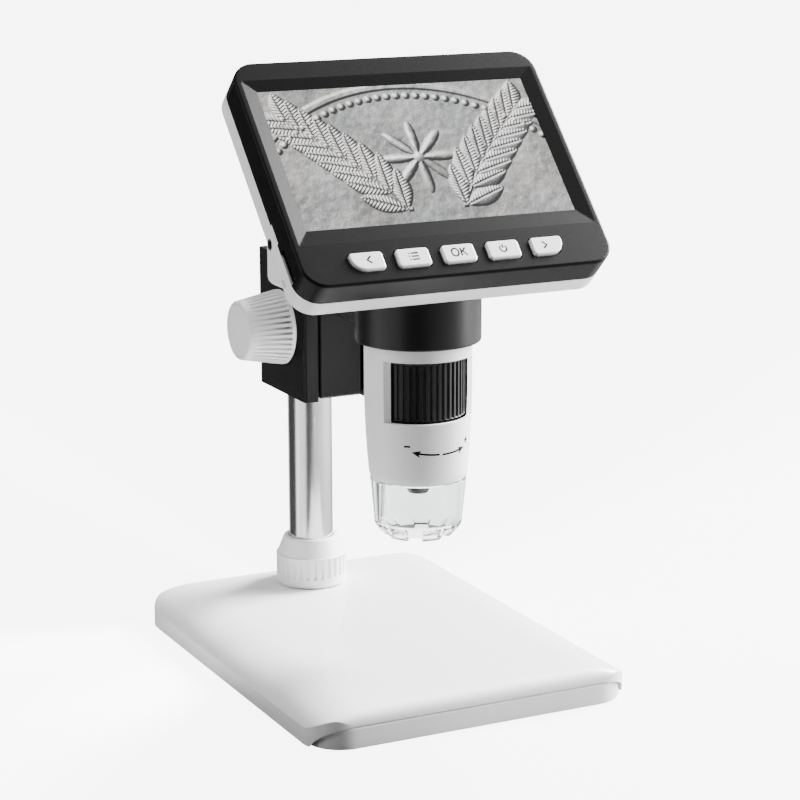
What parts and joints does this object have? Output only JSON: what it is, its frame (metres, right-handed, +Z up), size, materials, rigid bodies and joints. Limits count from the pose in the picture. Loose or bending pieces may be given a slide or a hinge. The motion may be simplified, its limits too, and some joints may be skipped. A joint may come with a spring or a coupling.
{
  "type": "digital microscope",
  "caption": "Desktop digital microscope: tilted screen head with an optical barrel, held in a ring on a rack-driven bracket that slides on an upright column over a flat base.",
  "frame": {"origin": "middle of the base's footprint, on the table", "axes": "+Z up the column, +Y to the back where the column stands, +X to the right of someone who reads the screen"},
  "size_m": [0.1152, 0.1506, 0.2076],
  "materials": {
    "white_shell": "satin",
    "black_shell": "satin",
    "black_metal": "satin",
    "steel": "plain",
    "chrome": "polished",
    "brass": "turned",
    "rubber": "matt",
    "clear": "clear plastic",
    "lens_glass": "polished",
    "screen": "gloss",
    "key_white": "satin",
    "board": "solder mask",
    "chip": "matt",
    "lamp": "moulded",
    "battery_wrap": "film",
    "nylon": "plain",
    "anodised": "anodised"
  },
  "bodies": {
    "base": {"base_shell": "white_shell", "base_tray": "white_shell", "base_weight": "steel", "rubber_feet": "rubber", "base_screws": "steel", "column_bolt": "steel", "column_plug": "steel", "column_socket": "white_shell", "column": "chrome", "column_cap": "black_shell"},
    "nut": {"column_nut": "white_shell"},
    "bracket": {"bracket_block": "black_metal", "bracket_grub_screws": "steel", "shaft_bushes": "brass"},
    "carriage": {"slide_plate": "black_metal", "rack": "steel", "holder_ring": "anodised", "holder_screws": "steel"},
    "knobs": {"pinion_shaft": "steel", "knob_left": "white_shell", "knob_right": "white_shell", "knob_disc_left": "white_shell", "knob_disc_right": "white_shell", "friction_washers": "nylon"},
    "head": {"barrel_shell": "white_shell", "barrel_screws": "steel", "guide_tube": "chip", "sensor_board": "board", "image_sensor": "chip", "sensor_screws": "steel", "lamp_board": "board", "lamps": "lamp", "rear_shell": "white_shell", "front_bezel": "black_shell", "display_panel": "screen", "main_board": "board", "board_screws": "steel", "processor": "chip", "battery": "battery_wrap", "key_board": "board", "key_switches": "chip", "power_inlet": "steel", "card_socket": "steel", "head_screws": "steel"},
    "focus": {"focus_ring": "rubber"},
    "lens": {"lens_carriage": "anodised", "objective_lenses": "lens_glass"},
    "cap": {"lens_cap": "clear"},
    "key_left": {"key_left": "key_white"},
    "key_menu": {"key_menu": "key_white"},
    "key_ok": {"key_ok": "key_white"},
    "key_power": {"key_power": "key_white"},
    "key_right": {"key_right": "key_white"}
  },
  "joints": [
    {"name": "nut_turn", "type": "hinge", "parent": "base", "child": "nut", "pos_m": [0, 0.05575, 0.02], "axis": [0, 0, 1], "continuous": true},
    {"name": "bracket_lift", "type": "slide", "parent": "base", "child": "bracket", "axis": [0, 0, 1], "range_m": [-0.015, 0.035]},
    {"name": "focus_travel", "type": "slide", "parent": "bracket", "child": "carriage", "axis": [0, 0, 1], "range_m": [-0.01, 0.01]},
    {"name": "knob_turn", "type": "hinge", "parent": "bracket", "child": "knobs", "pos_m": [0, 0.0425, 0.1112], "axis": [1, 0, 0], "range_deg": [-159.2, 159.2]},
    {"name": "head_turn", "type": "hinge", "parent": "carriage", "child": "head", "pos_m": [0, -0.0305, 0.12], "axis": [0, 0, 1], "range_deg": [-90, 90]},
    {"name": "focus_ring_turn", "type": "hinge", "parent": "head", "child": "focus", "pos_m": [0, -0.0305, 0.1042], "axis": [0, 0, 1], "range_deg": [-135.5, 135.5]},
    {"name": "lens_travel", "type": "slide", "parent": "head", "child": "lens", "axis": [0, 0, 1], "range_m": [-0.003, 0.003]},
    {"name": "cap_pull", "type": "slide", "parent": "head", "child": "cap", "axis": [0, 0, -1], "range_m": [0, 0.012]},
    {"name": "key_left_press", "type": "slide", "parent": "head", "child": "key_left", "axis": [0, 0.726, -0.6877], "range_m": [0, 0.0005], "stiffness_N_per_m": 3000, "springref_m": -0.0002},
    {"name": "key_menu_press", "type": "slide", "parent": "head", "child": "key_menu", "axis": [0, 0.726, -0.6877], "range_m": [0, 0.0005], "stiffness_N_per_m": 3000, "springref_m": -0.0002},
    {"name": "key_ok_press", "type": "slide", "parent": "head", "child": "key_ok", "axis": [0, 0.726, -0.6877], "range_m": [0, 0.0005], "stiffness_N_per_m": 3000, "springref_m": -0.0002},
    {"name": "key_power_press", "type": "slide", "parent": "head", "child": "key_power", "axis": [0, 0.726, -0.6877], "range_m": [0, 0.0005], "stiffness_N_per_m": 3000, "springref_m": -0.0002},
    {"name": "key_right_press", "type": "slide", "parent": "head", "child": "key_right", "axis": [0, 0.726, -0.6877], "range_m": [0, 0.0005], "stiffness_N_per_m": 3000, "springref_m": -0.0002}
  ],
  "couplings": [
    {"joint": "knob_turn", "follows": "focus_travel", "rad_per_m": -277.78},
    {"joint": "focus_ring_turn", "follows": "lens_travel", "rad_per_m": 785.4}
  ]
}
